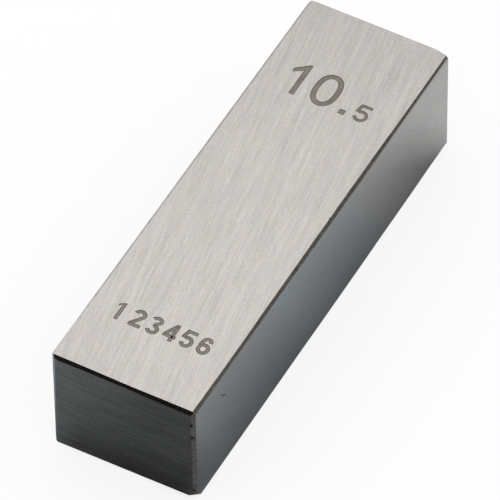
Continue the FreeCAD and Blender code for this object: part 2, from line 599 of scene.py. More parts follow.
FINISHES: dict[Surface, SteelFinish] = {
    Surface.SIDE: SteelFinish(
        "ground_side",
        (0.555, 0.524, 0.501),
        0.36,
        Grain(LEAN, 0.0, (0.11, 2.3, 0.11)),
        streak_shade=0.38,
        band_shade=0.05,
        relief=0.002,
        speck_shade=0.18,
        speck_tint=0.15,
    ),
    Surface.END: SteelFinish(
        "ground_end",
        (0.54, 0.535, 0.52),
        0.22,
        Grain(LYING, -1.5, (0.12, 2.5, 0.12)),
        streak_shade=0.6,
        band_shade=0.16,
        relief=0.001,
        speck_shade=0.4,
        speck_tint=0.16,
    ),
    Surface.MEASURING: SteelFinish(
        "lapped_face",
        (0.57, 0.565, 0.56),
        0.1,
        Grain(0.0, 40.0, (0.1, 0.5, 0.1)),
        streak_shade=0.14,
        band_shade=0.06,
        streak_gloss=0.02,
        relief=0.0002,
        speck_shade=0.22,
        speck_tint=0.16,
        # Painted shade in a border below the stoned edge.
        painted_border_shade=0.28,
    ),
    Surface.STONED_EDGE: SteelFinish(
        "stoned_edge",
        (0.5, 0.48, 0.455),
        0.12,
        Grain(LYING, 0.0, (0.22, 0.8, 0.3)),
        streak_shade=0.75,
        band_shade=0.3,
    ),
    Surface.END_EDGE: SteelFinish(
        "end_edge",
        (0.46, 0.43, 0.4),
        0.18,
        Grain(LYING, 0.0, (0.12, 1.5, 0.12)),
        streak_shade=0.2,
        band_shade=0.1,
    ),
    Surface.CORNER: SteelFinish(
        "stoned_corner",
        (0.52, 0.49, 0.455),
        0.25,
        Grain(0.0, -18.0, (1.5, 1.5, 0.14)),
        streak_shade=0.95,
        band_shade=0.2,
        relief=0.01,
    ),
    Surface.ETCHED: SteelFinish(
        "etched_mark",
        (0.265, 0.242, 0.217),
        0.5,
        Grain(LEAN, 0.0, (0.12, 0.8, 0.12)),
        streak_shade=0.2,
        band_shade=0.1,
        haze_shade=0.3,
        haze_size=0.9,
        scratch_amount=0.0,
    ),
    Surface.ETCHED_OUTLINE: SteelFinish(
        "etched_outline",
        (0.17, 0.152, 0.132),
        0.5,
        Grain(LEAN, 0.0, (0.12, 0.8, 0.12)),
        streak_shade=0.2,
        haze_shade=0.35,
        haze_size=0.9,
        scratch_amount=0.0,
    ),
    Surface.NICK: SteelFinish(
        "nicked_edge",
        (0.11, 0.1, 0.088),
        0.45,
        Grain(0.0, 0.0, (0.1, 0.1, 0.1)),
        streak_shade=0.3,
        scratch_amount=0.0,
    ),
}


# ---------------------------------------------------------------------------------------
# Figures
# ---------------------------------------------------------------------------------------

@dataclass(frozen=True)
class Stroke:
    """A closed area of a figure: a line of even width, or a plain outline.

    Attributes:
        points: Points of the middle line, or of the outline if width is 0.
        width: Width of the line.
        closed: Whether the middle line joins up.
    """

    points: tuple[Point, ...]
    width: float = 0.0
    closed: bool = False

    def sides(self) -> tuple[list[Point], list[Point]]:
        """Offset the middle line to both sides, with mitred joints.

        Returns:
            The points on the left and on the right.
        """
        count = len(self.points)
        left, right = [], []
        for index, (x, y) in enumerate(self.points):
            before = self.points[index - 1] if index or self.closed else self.points[0]
            more = index < count - 1 or self.closed
            after = self.points[(index + 1) % count] if more else self.points[-1]
            turn_in = Vector((x - before[0], y - before[1]))
            turn_out = Vector((after[0] - x, after[1] - y))
            turn_in = turn_in.normalized() if turn_in.length else turn_out.normalized()
            turn_out = turn_out.normalized() if turn_out.length else turn_in
            along = (turn_in + turn_out).normalized()
            reach = self.width / 2 / max(along.dot(turn_in), SHARPEST_MITRE)
            left.append((x - along.y * reach, y + along.x * reach))
            right.append((x + along.y * reach, y - along.x * reach))
        return left, right

    def inset(self, rim: float) -> Stroke:
        """Shrink the stroke by a rim all round.

        Args:
            rim: Width of the rim.

        Returns:
            The smaller stroke.
        """
        if not self.width:
            inner, _ = Stroke(self.points, 2 * rim, closed=True).sides()
            return Stroke(tuple(inner))
        points = list(self.points)
        if not self.closed:
            for end, beside in ((0, 1), (-1, -2)):
                step = Vector(points[beside]) - Vector(points[end])
                points[end] = tuple(Vector(points[end]) + step.normalized() * min(rim, 0.4 * step.length))
        return Stroke(tuple(points), self.width - 2 * rim, self.closed)


@dataclass(frozen=True)
class Figures:
    """Plain upright figures drawn with one pen, one unit high.

    Attributes:
        pen: Width of the pen.
        width: Width of a round figure.
        steps: Straight pieces in a full round.
        flag_top: Height of the top of the flag's end on the 1.
        flag_foot: Height of the bottom of the flag's end on the 1.
        narrow: Width of the 1.
    """

    pen: float
    width: float
    steps: int = 48
    flag_top: float = 0.75
    flag_foot: float = 0.63
    narrow: float = 0.386

    def arc(self, middle: Point, radii: Point, start: float, end: float, power: float = 2.0) -> list[Point]:
        """Points on part of an ellipse, or of a squarer round.

        Args:
            middle: Centre.
            radii: Half width and half height.
            start: First angle in degrees.
            end: Last angle in degrees.
            power: 2 for an ellipse, more for a squarer round.

        Returns:
            The points.
        """
        count = max(2, round(self.steps * abs(end - start) / 360.0))
        points = []
        for step in range(count + 1):
            angle = math.radians(start + (end - start) * step / count)
            c, s = math.cos(angle), math.sin(angle)
            x = math.copysign(abs(c) ** (2.0 / power), c)
            y = math.copysign(abs(s) ** (2.0 / power), s)
            points.append((middle[0] + radii[0] * x, middle[1] + radii[1] * y))
        return points

    def line(self, *points: Point) -> Stroke:
        """Draw a pen line through points."""
        return Stroke(tuple(points), self.pen)

    def zero(self) -> list[Stroke]:
        """Draw a 0."""
        ring = self.arc((self.width / 2, 0.5), self._radii(0.5), 0.0, 360.0, 2.3)
        return [Stroke(tuple(ring[:-1]), self.pen, closed=True)]

    def one(self) -> list[Stroke]:
        """Draw a 1 with a slanted flag."""
        stem = self.narrow - self.pen
        outline = (
            (self.narrow, 0.0),
            (self.narrow, 1.0),
            (self.narrow - 0.55 * self.pen, 1.0),
            (0.0, self.flag_top),
            (0.15 * self.pen, self.flag_foot),
            (stem, self.flag_foot + 0.14),
            (stem, 0.0),
        )
        return [Stroke(outline)]

    def two(self) -> list[Stroke]:
        """Draw a 2."""
        half = self.pen / 2
        radii = self._radii(0.29)
        bow = self.arc((self.width / 2, 0.71), radii, 172.0, -38.0)
        foot = (half * 1.3, self.pen * 0.8)
        base = self.line((0.02, half), (self.width, half))
        return [self.line(*bow, foot), base]

    def three(self) -> list[Stroke]:
        """Draw a 3."""
        waist = 0.53
        middle = self.width / 2
        reach, _ = self._radii(0.3)
        top_radii = (reach * 0.93, 0.51 - waist / 2 - self.pen / 2)
        foot_radii = (reach, waist / 2 - self.pen / 2 + 0.02)
        upper = self.arc((middle, 0.495 + waist / 2), top_radii, 165.0, -88.0)
        lower = self.arc((middle, waist / 2), foot_radii, 88.0, -168.0)
        bar = self.line((self.width * 0.36, waist - 0.005), (self.width * 0.56, waist - 0.005))
        return [self.line(*upper), self.line(*lower), bar]

    def four(self) -> list[Stroke]:
        """Draw a 4."""
        post = self.width * 0.72
        level = 0.28
        bar = self.line((0.0, level), (self.width, level))
        upright = self.line((post, 0.0), (post, 1.0))
        slope = self.line((self.pen * 0.35, level), (post - self.pen * 0.15, 1.0 - self.pen * 0.4))
        return [bar, upright, slope]

    def five(self) -> list[Stroke]:
        """Draw a 5."""
        half = self.pen / 2
        corner = self.width * 0.2
        bar = self.line((corner - half * 0.6, 1.0 - half), (self.width * 0.95, 1.0 - half))
        post = self.line((corner + half * 0.2, 1.0 - half), (corner - half * 0.75, 0.5))
        bowl = self.arc((self.width / 2, 0.335), self._radii(0.335), 138.0, -165.0)
        return [bar, post, self.line(*bowl)]

    def six(self) -> list[Stroke]:
        """Draw a 6."""
        ring = self.arc((self.width / 2, 0.325), self._radii(0.325), 0.0, 360.0)
        back = self.arc((self.width / 2, 0.5), self._radii(0.5), 184.0, 32.0, 2.2)
        return [Stroke(tuple(ring[:-1]), self.pen, closed=True), self.line(*back)]

    def dot(self) -> list[Stroke]:
        """Draw a square point."""
        side = self.pen * 1.17
        return [Stroke(((0.0, 0.0), (side, 0.0), (side, side * 0.96), (0.0, side * 0.96)))]

    def draw(self, figure: str) -> list[Stroke]:
        """Draw a figure by its sign."""
        shapes = {
            "0": self.zero,
            "1": self.one,
            "2": self.two,
            "3": self.three,
            "4": self.four,
            "5": self.five,
            "6": self.six,
            ".": self.dot,
        }
        return shapes[figure]()

    def _radii(self, half_height: float) -> Point:
        """Radii of the pen's middle line in a round that fills the figure's width."""
        return (self.width - self.pen) / 2, half_height - self.pen / 2


@dataclass(frozen=True)
class Mark:
    """One figure in its place on the marked face.

    Attributes:
        figure: The sign.
        left: Where its left side is, along X, in millimetres.
        foot: Where its base line is, along Y, in millimetres.
        height: Its height in millimetres.
        figures: The pen and proportions it is drawn with.
    """

    figure: str
    left: float
    foot: float
    height: float
    figures: Figures

    def strokes(self) -> list[Stroke]:
        """Place the figure's strokes on the face.

        Returns:
            The strokes in millimetres.
        """
        placed = []
        for stroke in self.figures.draw(self.figure):
            points = tuple(
                (self.left + x * self.height, self.foot + y * self.height) for x, y in stroke.points
            )
            placed.append(Stroke(points, stroke.width * self.height, stroke.closed))
        return placed


@dataclass(frozen=True)
class FaceMarks:
    """The figures etched in the marked side face: the size, and a plain row near the front.

    The tool ran round the border of each figure first, which left a darker rim, and then
    filled it a little deeper. All sizes are in millimetres.

    Attributes:
        rim: Width of the darker rim.
        rim_depth: Depth of the rim.
        depth: Depth of the filled part.
        clear: How far the cutting prisms stand above the face.
        large: Pen of the first figures of the size.
        small: Pen of the figure after its point.
        row: Pen of the plain row.
        row_text: The plain row.
        row_left: Its left end, along X.
        row_foot: Its base line, along Y.
        row_height: Height of its figures.
        row_pitch: Spacing of its figures.
    """

    rim: float = 0.06
    rim_depth: float = 0.01
    depth: float = 0.016
    clear: float = 0.02
    large: Figures = Figures(pen=0.135, width=0.655)
    small: Figures = Figures(pen=0.165, width=0.68)
    row: Figures = Figures(pen=0.19, width=0.62, narrow=0.35, flag_top=0.86, flag_foot=0.72)
    row_text: str = "123456"
    row_left: float = -3.42
    row_foot: float = -12.94
    row_height: float = 1.48
    row_pitch: float = 1.22

    def marks(self) -> list[Mark]:
        """List every figure on the face.

        Returns:
            The marks.
        """
        size = [
            Mark("1", -3.24, 9.28, 2.84, self.large),
            Mark("0", -1.31, 9.21, 2.91, self.large),
            Mark(".", 1.16, 9.25, 2.84, self.large),
            Mark("5", 2.13, 9.19, 1.52, self.small),
        ]
        row = []
        for place, figure in enumerate(self.row_text):
            left = self.row_left + place * self.row_pitch
            row.append(Mark(figure, left, self.row_foot, self.row_height, self.row))
        return size + row

    def rims(self, top: float) -> Form:
        """Build the closed prisms that cut the whole figures, as deep as their rims.

        Args:
            top: Height of the face, in millimetres.

        Returns:
            The prisms in one mesh.
        """
        return self._prisms((top - self.rim_depth, top + self.clear), 0.0, Surface.ETCHED_OUTLINE)

    def fills(self, top: float) -> Form:
        """Build the closed prisms that cut the filled parts inside the rims.

        Args:
            top: Height of the face, in millimetres.

        Returns:
            The prisms in one mesh.
        """
        return self._prisms((top - self.depth, top + self.clear), self.rim, Surface.ETCHED)

    def _prisms(self, span: Point, inset: float, surface: Surface) -> Form:
        """Build the prisms of every figure.

        Args:
            span: Heights of their bottoms and their tops.
            inset: How far they keep inside the figures.
            surface: The kind of surface that they leave.

        Returns:
            The prisms in one mesh.
        """
        cut = bmesh.new()
        for mark in self.marks():
            for stroke in mark.strokes():
                self._prism(cut, stroke.inset(inset) if inset else stroke, span, surface)
        return cut

    @staticmethod
    def _prism(cut: Form, stroke: Stroke, span: Point, surface: Surface) -> None:
        """Add one stroke as a closed prism.

        Args:
            cut: The mesh that gets it.
            stroke: The stroke.
            span: Heights of its bottom and its top.
            surface: The kind of surface that it leaves.
        """
        left, right = stroke.sides() if stroke.width else (list(stroke.points), [])
        rings = [[cut.verts.new((x, y, z)) for x, y in side] for z in span for side in (left, right)]
        low_left, low_right, high_left, high_right = rings
        count = len(left)
        loops = []
        if right:
            for here in range(count if stroke.closed else count - 1):
                nxt = (here + 1) % count
                loops.append((high_left[here], high_right[here], high_right[nxt], high_left[nxt]))
                loops.append((low_left[here], low_left[nxt], low_right[nxt], low_right[here]))
                loops.append((low_left[nxt], low_left[here], high_left[here], high_left[nxt]))
                loops.append((low_right[here], low_right[nxt], high_right[nxt], high_right[here]))
            if not stroke.closed:
                loops.append((low_left[0], low_right[0], high_right[0], high_left[0]))
                loops.append((low_right[-1], low_left[-1], high_left[-1], high_right[-1]))
        else:
            loops += [low_left[::-1], high_left]
            for here in range(count):
                nxt = (here + 1) % count
                loops.append((low_left[here], low_left[nxt], high_left[nxt], high_left[here]))
        for loop in loops:
            cut.faces.new(loop).material_index = surface.value


# ---------------------------------------------------------------------------------------
# The block
# ---------------------------------------------------------------------------------------


@dataclass(frozen=True)
class Face:
    """One of the six flat faces of the block, by its axis and the side it is on.

    Attributes:
        axis: 0, 1 or 2 for X, Y or Z.
        side: 1 or -1.
    """

    axis: int
    side: int


@dataclass(frozen=True)
class Stray:
    """A place where a worked edge is wider or narrower than elsewhere.

    Attributes:
        place: Where it is along the edge, in millimetres.
        amount: How much wider the edge is there.
        reach: Half its length.
    """

    place: float
    amount: float
    reach: float

    def at(self, place: float) -> float:
        """Extra width at a place along the edge."""
        return self.amount * math.exp(-(((place - self.place) / self.reach) ** 2))


@dataclass(frozen=True)
class Nick:
    """A small dent knocked into the steel, in the shape of a ball or an egg.

    Attributes:
        where: Its middle, in millimetres.
        reach: Half its size along X, Y and Z, in millimetres.
        lean: Turn about X in degrees, for a slanted scratch.
    """

    where: Triple
    reach: Triple
    lean: float = 0.0

    def add(self, cut: Form) -> None:
        """Add the nick as a closed body.

        Args:
            cut: The mesh that gets it.
        """
        turn = Matrix.Rotation(math.radians(self.lean), 4, "X")
        place = Matrix.Translation(self.where) @ turn @ Matrix.Diagonal((*self.reach, 1.0))
        made = bmesh.ops.create_icosphere(cut, subdivisions=2, radius=1.0, matrix=place)
        for face in {face for vert in made["verts"] for face in vert.link_faces}:
            face.material_index = Surface.NICK.value


@dataclass(frozen=True)
class WorkedEdge:
    """A flat that was stoned or ground along one edge of the block.

    Attributes:
        first: One face that meets at the edge.
        second: The other one.
        on_first: Width taken from the first face.
        on_second: Width taken from the second face.
        surface: The kind of surface it has.
        waver: How far its borders stray from straight lines.
        strays: Places where it is wider or narrower on the first face, and on the second.
        taper: Share of its width at its low end and at its high end.
        station: Spacing of the points along it, in millimetres.
    """

    first: Face
    second: Face
    on_first: float
    on_second: float
    surface: Surface
    waver: float
    strays: tuple[tuple[Stray, ...], tuple[Stray, ...]] = ((), ())
    taper: Point = (1.0, 1.0)
    station: float = 0.35

    @property
    def run(self) -> int:
        """The axis that the edge runs along."""
        return 3 - self.first.axis - self.second.axis

    def extra(self, place: float, border: int) -> float:
        """How much wider than its straight width the flat is at a place along it.

        Args:
            place: The place along the edge, in millimetres.
            border: 0 for the border on the first face, 1 for the one on the second.

        Returns:
            The extra width in millimetres.
        """
        return sum(stray.at(place) for stray in self.strays[border])


@dataclass(frozen=True)
class BluntedCorner:
    """A corner of the block where a small flat took the point away.

    Attributes:
        sides: Which corner it is, by its sides along X, Y and Z, each 1 or -1.
        reach: How far the flat reaches from the sharp corner along each edge, in millimetres.
    """

    sides: tuple[int, int, int]
    reach: Triple


@dataclass
class Block:
    """The steel block: its worked edges, its figures and its finishes.

    All sizes are in millimetres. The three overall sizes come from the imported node.

    Attributes:
        end_chamfers: Chamfers at the top front, top back, under front and under back, each by its
            widths on the end face and on the side face.
        lap_chamfer: Width of the even chamfer between the left and the marked face.
        under_left: Width of the chamfer under the left face.
        under_right: Width of the chamfer under the right face.
        under_right_strays: Places where that chamfer is wider or narrower on the right face.
        stoned: Width of the hand-stoned chamfer between the right and the marked face.
        stoned_strays: Places where it is wider or narrower.
        top_front_strays: The same for the top front chamfer, on the front and on the marked face.
        blunted: Corners whose point is gone.
        front_left: Front left corner cut, along X and Y.
        front_right: Front right corner cut.
        back_left: Back left corner cut.
        back_right: Back right corner round.
        round_steps: Flat facets of the corner round.
        fine_station: Spacing of the points along the most uneven edges.
        edge_nicks: Number of small nicks strewn along the stoned chamfer.
        corner_nicks: Number of small nicks strewn along the front right corner.
        nick_seed: Seed of the strewn nicks.
        marks: The figures in the marked face.
    """

    end_chamfers: tuple[Point, ...] = ((0.23, 0.19), (0.19, 0.19), (0.23, 0.23), (0.19, 0.19))
    lap_chamfer: float = 0.2
    under_left: float = 0.1
    under_right: float = 0.14
    under_right_strays: tuple[Stray, ...] = (
        Stray(2.5, -0.045, 4.0),
        Stray(14.8, 0.05, 2.2),
        Stray(17.4, 0.08, 0.7),
    )
    stoned: float = 0.19
    stoned_strays: tuple[Stray, ...] = (
        Stray(-17.2, 0.02, 1.5),
        Stray(-11.5, -0.025, 3.5),
        Stray(13.0, -0.055, 4.5),
        Stray(17.5, -0.035, 2.0),
    )
    top_front_strays: tuple[tuple[Stray, ...], tuple[Stray, ...]] = (
        (Stray(-4.4, 0.075, 0.9), Stray(0.3, -0.03, 1.7)),
        (Stray(0.5, -0.03, 2.4),),
    )
    blunted: tuple[BluntedCorner, ...] = (
        BluntedCorner((1, -1, -1), (1.02, 0.75, 0.75)),
        BluntedCorner((1, 1, 1), (1.66, 0.364, 1.63)),
    )
    front_left: Point = (0.35, 0.33)
    front_right: Point = (0.25, 0.23)
    back_left: Point = (0.49, 0.27)
    back_right: Point = (0.95, 0.28)
    round_steps: int = 10
    fine_station: float = 0.14
    edge_nicks: int = 22
    corner_nicks: int = 9
    nick_seed: int = 21
    marks: FaceMarks = field(default_factory=FaceMarks)

    def __post_init__(self) -> None:
        """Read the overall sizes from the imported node."""
        low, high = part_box(NODE)
        self.low = low / MM
        self.high = high / MM
        self.form = bmesh.new()

    def level(self, face: Face) -> float:
        """Where a flat face lies along its own axis."""
        return self.high[face.axis] if face.side > 0 else self.low[face.axis]

    def worked_edges(self) -> list[WorkedEdge]:
        """List every flat along the edges of the block.

        Returns:
            The corner cuts, the end chamfers and the long chamfers.
        """
        left, right = Face(0, -1), Face(0, 1)
        front, back = Face(1, -1), Face(1, 1)
        under, marked = Face(2, -1), Face(2, 1)
        edges = [
            WorkedEdge(
                side, end, along_y, along_x, Surface.CORNER, 0.02, taper=taper, station=self.fine_station
            )
            for side, end, (along_x, along_y), taper in (
                (left, front, self.front_left, (0.6, 1.0)),
                (right, front, self.front_right, (0.9, 1.0)),
                (left, back, self.back_left, (1.0, 1.0)),
            )
        ]
        top_front, top_back, under_front, under_back = self.end_chamfers
        edges += [
            WorkedEdge(end, side, on_end, on_side, Surface.END_EDGE, 0.008, strays, taper)
            for end, side, (on_end, on_side), taper, strays in (
                (front, marked, top_front, (0.9, 1.1), self.top_front_strays),
                (back, marked, top_back, (1.0, 1.0), ((), ())),
                (front, under, under_front, (0.45, 1.55), ((), ())),
                (back, under, under_back, (1.0, 1.0), ((), ())),
            )
        ]
        edges += [
            WorkedEdge(face, side, width, width, Surface.STONED_EDGE, 0.012, strays)
            for face, side, width, strays in (
                (left, under, self.under_left, ((), ())),
                (right, under, self.under_right, (self.under_right_strays, ())),
                (left, marked, self.lap_chamfer, ((), ())),
            )
        ]
        edges.append(
            WorkedEdge(
                right,
                marked,
                self.stoned,
                self.stoned,
                Surface.STONED_EDGE,
                0.016,
                (self.stoned_strays, self.stoned_strays),
                station=self.fine_station,
            )
        )
        return edges

    def nicks(self) -> list[Nick]:
        """List the dents: some given one by one, and small ones strewn along the worked edges.

        Returns:
            The nicks.
        """
        right, front = self.high.x, self.low.y
        found = [
            Nick((right - 0.17, front, 7.62), (0.17, 0.1, 0.19)),
            Nick((right - 0.12, front + 0.04, 6.38), (0.12, 0.09, 0.14)),
            Nick((right - 0.12, front + 0.03, 5.2), (0.08, 0.06, 0.08)),
            Nick((right - 0.14, front + 0.03, 1.02), (0.12, 0.08, 0.14)),
            Nick((right, -13.65, 6.75), (0.035, 0.46, 0.04), -42.0),
            Nick((right, 11.6, 6.4), (0.02, 0.05, 0.06)),
            Nick((right, 0.5, 1.4), (0.02, 0.06, 0.05)),
            Nick((right, 8.4, 1.5), (0.02, 0.05, 0.05)),
        ]
        pick = random.Random(self.nick_seed)
        for _ in range(self.edge_nicks):
            place = pick.uniform(self.low.y + 0.6, 6.0)
            size = pick.uniform(0.03, 0.07)
            inward = pick.uniform(-0.05, 0.015)
            if pick.random() < 0.7:
                where = (right, place, self.high.z - self.stoned - inward)
            else:
                where = (right - self.stoned - inward, place, self.high.z)
            found.append(Nick(where, (size * 0.6, size * pick.uniform(0.8, 2.2), size * 0.6)))
        for _ in range(self.corner_nicks):
            size = pick.uniform(0.04, 0.08)
            shift = pick.uniform(-0.04, 0.04)
            where = (right - self.front_right[0] - shift, front, pick.uniform(0.4, 8.3))
            found.append(Nick(where, (size * 1.4, size, size)))
        return found

    def trim(self, point: Vector, normal: Vector, surface: Surface) -> None:
        """Cut away what lies beyond a plane and close the cut.

        Args:
            point: A point on the plane.
            normal: Its direction, away from the block.
            surface: The kind of surface that the cut leaves.
        """
        everything = self.form.verts[:] + self.form.edges[:] + self.form.faces[:]
        result = bmesh.ops.bisect_plane(
            self.form, geom=everything, plane_co=point, plane_no=normal, clear_outer=True, dist=ON_PLANE
        )
        rim = [item for item in result["geom_cut"] if isinstance(item, BorderEdge)]
        if rim:
            made = bmesh.ops.contextual_create(self.form, geom=rim)
            for face in made["faces"]:
                face.material_index = surface.value

    def shape(self) -> None:
        """Shape the block with its corners, chamfers and uneven borders."""
        middle = (self.low + self.high) / 2
        size = self.high - self.low
        place = Matrix.Translation(middle) @ Matrix.Diagonal((*size, 1.0))
        bmesh.ops.create_cube(self.form, size=1.0, matrix=place)
        for face in self.form.faces:
            if abs(face.normal.x) > 0.5:
                face.material_index = Surface.MEASURING.value
            elif abs(face.normal.y) > 0.5:
                face.material_index = Surface.END.value
        self.round_corner()
        edges = self.worked_edges()
        for edge in edges:
            self.cut_flat(edge)
        for blunt in self.blunted:
            self.blunt_corner(blunt)
        for number, edge in enumerate(edges):
            self.stray_borders(edge, 10.0 * number)

    def round_corner(self) -> None:
        """Round the back right corner with narrow flats that touch its arc."""
        run, drop = self.back_right
        radius = (run**2 + drop**2) / (2 * drop)
        centre = Vector((self.high.x - run, self.high.y - radius, 0.0))
        sweep = math.asin(run / radius)
        for step in range(self.round_steps):
            angle = sweep * (step + 0.5) / self.round_steps
            out = Vector((math.sin(angle), math.cos(angle), 0.0))
            self.trim(centre + out * radius, out, Surface.CORNER)

    def blunt_corner(self, blunt: BluntedCorner) -> None:
        """Take the point of a corner away.

        Args:
            blunt: The blunted corner.
        """
        ends = (self.low, self.high)
        point = Vector(ends[side > 0][axis] for axis, side in enumerate(blunt.sides))
        point.x -= blunt.sides[0] * blunt.reach[0]
        normal = Vector(side / reach for side, reach in zip(blunt.sides, blunt.reach))
        self.trim(point, normal.normalized(), Surface.CORNER)

    def cut_flat(self, edge: WorkedEdge) -> None:
        """Cut one flat along an edge, at its even or evenly tapering width.

        Args:
            edge: The worked edge.
        """
        point = Vector((0.0, 0.0, 0.0))
        point[edge.first.axis] = self.level(edge.first)
        normal = Vector((0.0, 0.0, 0.0))
        normal[edge.first.axis] = edge.first.side * edge.on_first
        normal[edge.second.axis] = edge.second.side * edge.on_second
        start, end = edge.taper
        length = self.high[edge.run] - self.low[edge.run]
        point[edge.run] = self.low[edge.run]
        point[edge.second.axis] = self.level(edge.second) - edge.second.side * edge.on_first * start
        normal[edge.run] = edge.on_first * edge.on_second * (end - start) / length
        self.trim(point, normal.normalized(), edge.surface)

    def stray_borders(self, edge: WorkedEdge, seed: float) -> None:
        """Give a flat the slightly uneven borders that hand work leaves.

        Both long borders get the same stations, which are joined across the flat. A border
        only moves within the flat face beside it, so those faces stay flat.

        Args:
            edge: The worked edge.
            seed: Where its waver starts in the noise.
        """
        flats = [face for face in self.form.faces if face.material_index == edge.surface.value]
        for flat in flats:
            borders = [self._border(flat, face, edge.run) for face in (edge.first, edge.second)]
            if None in borders:
                continue
            rows = [self._stations(border, edge) for border in borders]
            for one, other in zip(*rows):
                shared = set(one.link_faces) & set(other.link_faces)
                beside = [face for face in shared if face.material_index == edge.surface.value]
                if beside:
                    bmesh.utils.face_split(beside[0], one, other)
            for border, across in enumerate((edge.second, edge.first)):
                shift = seed + 5.0 * border
                for vert in rows[border]:
                    place = vert.co[edge.run]
                    fine = noise.noise(Vector((place * 2.2, shift, 0.0)))
                    slow = noise.noise(Vector((place * 0.45, shift, 7.0)))
                    more = edge.extra(place, border) + edge.waver * (0.6 * fine + 0.9 * slow)
                    vert.co[across.axis] -= across.side * more

    def _border(self, flat: bmesh.types.BMFace, face: Face, run: int) -> BorderEdge | None:
        """Find the border of a flat that lies in a given face and runs along an axis.

        Args:
            flat: The flat.
            face: The face beside it.
            run: The axis.

        Returns:
            The border, or None where the flat has none there.
        """
        for border in flat.edges:
            ends = [vert.co for vert in border.verts]
            lies = all(abs(end[face.axis] - self.level(face)) < ON_FACE for end in ends)
            if lies and abs(ends[0][run] - ends[1][run]) > SHORTEST_BORDER:
                return border
        return None

    def _stations(self, border: BorderEdge, edge: WorkedEdge) -> list[bmesh.types.BMVert]:
        """Divide a border evenly and return the new points in order along the axis.

        Args:
            border: The border.
            edge: The worked edge it belongs to.

        Returns:
            The new points.
        """
        run = edge.run
        start, end = sorted(border.verts, key=lambda vert: vert.co[run])
        count = max(2, round((self.high[run] - self.low[run]) / edge.station))
        first, last = start.co.copy(), end.co.copy()
        row = []
        for step in range(1, count):
            rest = next(item for item in start.link_edges if end in item.verts)
            _, vert = bmesh.utils.edge_split(rest, start, 0.5)
            vert.co = first.lerp(last, step / count)
            row.append(vert)
            start = vert
        return row

    def build(self, effects: SharedEffects) -> Piece:
        """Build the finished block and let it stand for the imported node.

        Args:
            effects: The shared node groups.

        Returns:
            The block's object.
        """
        self.shape()
        piece = self._object("block", self.form, effects)
        rims = self.marks.rims(self.high.z)
        for nick in self.nicks():
            nick.add(rims)
        self._carve(piece, self._object("rims and nicks", rims, effects))
        self._carve(piece, self._object("fills", self.marks.fills(self.high.z), effects))
        piece.data.name = "block"
        piece.data.transform(Matrix.Scale(MM, 4))
        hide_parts(NODE)
        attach(piece, BODY)
        log.info("%s: %d faces, rides on %s", piece.name, len(piece.data.polygons), BODY)
        return piece

    @staticmethod
    def _carve(piece: Piece, cutter: Piece) -> None:
        """Cut closed bodies out of the block and remove them.

        Args:
            piece: The block.
            cutter: The bodies.
        """
        carve = piece.modifiers.new("carve", "BOOLEAN")
        carve.operation = "DIFFERENCE"
        carve.solver = "EXACT"
        carve.use_self = True
        carve.object = cutter
        bpy.context.view_layer.update()
        shown = piece.evaluated_get(bpy.context.evaluated_depsgraph_get())
        carved = bpy.data.meshes.new_from_object(shown)
        piece.modifiers.clear()
        piece.data = carved
        bpy.data.objects.remove(cutter)

    @staticmethod
    def _object(name: str, form: Form, effects: SharedEffects) -> Piece:
        """Turn a working mesh into an object with every finish in its slots.

        Args:
            name: The object's name.
            form: The working mesh, which is freed.
            effects: The shared node groups.

        Returns:
            The object.
        """
        mesh = bpy.data.meshes.new(name)
        form.to_mesh(mesh)
        form.free()
        for surface in Surface:
            finish = FINISHES[surface]
            made = bpy.data.materials.get(finish.name) or finish.material(effects)
            mesh.materials.append(made)
        made_object = bpy.data.objects.new(name, mesh)
        bpy.context.scene.collection.objects.link(made_object)
        return made_object


# ---------------------------------------------------------------------------------------
# Studio
# ---------------------------------------------------------------------------------------


@dataclass(frozen=True)
class Camera:
    """A long lens that looks down on the block from its front right.

    Attributes:
        azimuth: Direction round the block in degrees, from straight in front.
        elevation: Height above the horizon in degrees.
        roll: Turn about the line of sight in degrees.
        distance: Distance from the aim, in millimetres.
        lens: Focal length in millimetres.
        aim: Middle of the view, right of and above the point looked at, in millimetres.
        aim_height: Height of that point above the floor, in millimetres.
        sensor: Width of the sensor in millimetres.
    """

    azimuth: float = 29.643
    elevation: float = 49.709
    roll: float = -1.127
    distance: float = 416.3
    lens: float = 458.11
    aim: Point = (-0.3075, -0.3795)
    aim_height: float = 4.5
    sensor: float = 36.0

    def build(self) -> Piece:
        """Set the camera up and make it the scene's own.

        Returns:
            The camera.
        """
        turn, rise, roll = (math.radians(angle) for angle in (self.azimuth, self.elevation, self.roll))
        back = Vector((math.sin(turn) * math.cos(rise), -math.cos(turn) * math.cos(rise), math.sin(rise)))
        level = Vector((math.cos(turn), math.sin(turn), 0.0))
        upright = back.cross(level)
        right = level * math.cos(roll) + upright * math.sin(roll)
        up = upright * math.cos(roll) - level * math.sin(roll)
        data = bpy.data.cameras.new("camera")
        data.lens = self.lens
        data.sensor_width = self.sensor
        data.clip_start = 0.02
        data.clip_end = 10.0
        camera = bpy.data.objects.new("camera", data)
        bpy.context.scene.collection.objects.link(camera)
        camera.rotation_mode = "QUATERNION"
        camera.rotation_quaternion = Matrix((right, up, back)).transposed().to_quaternion()
        offset = right * self.aim[0] + up * self.aim[1] + back * self.distance
        camera.location = (Vector((0.0, 0.0, self.aim_height)) + offset) * MM
        bpy.context.scene.camera = camera
        return camera


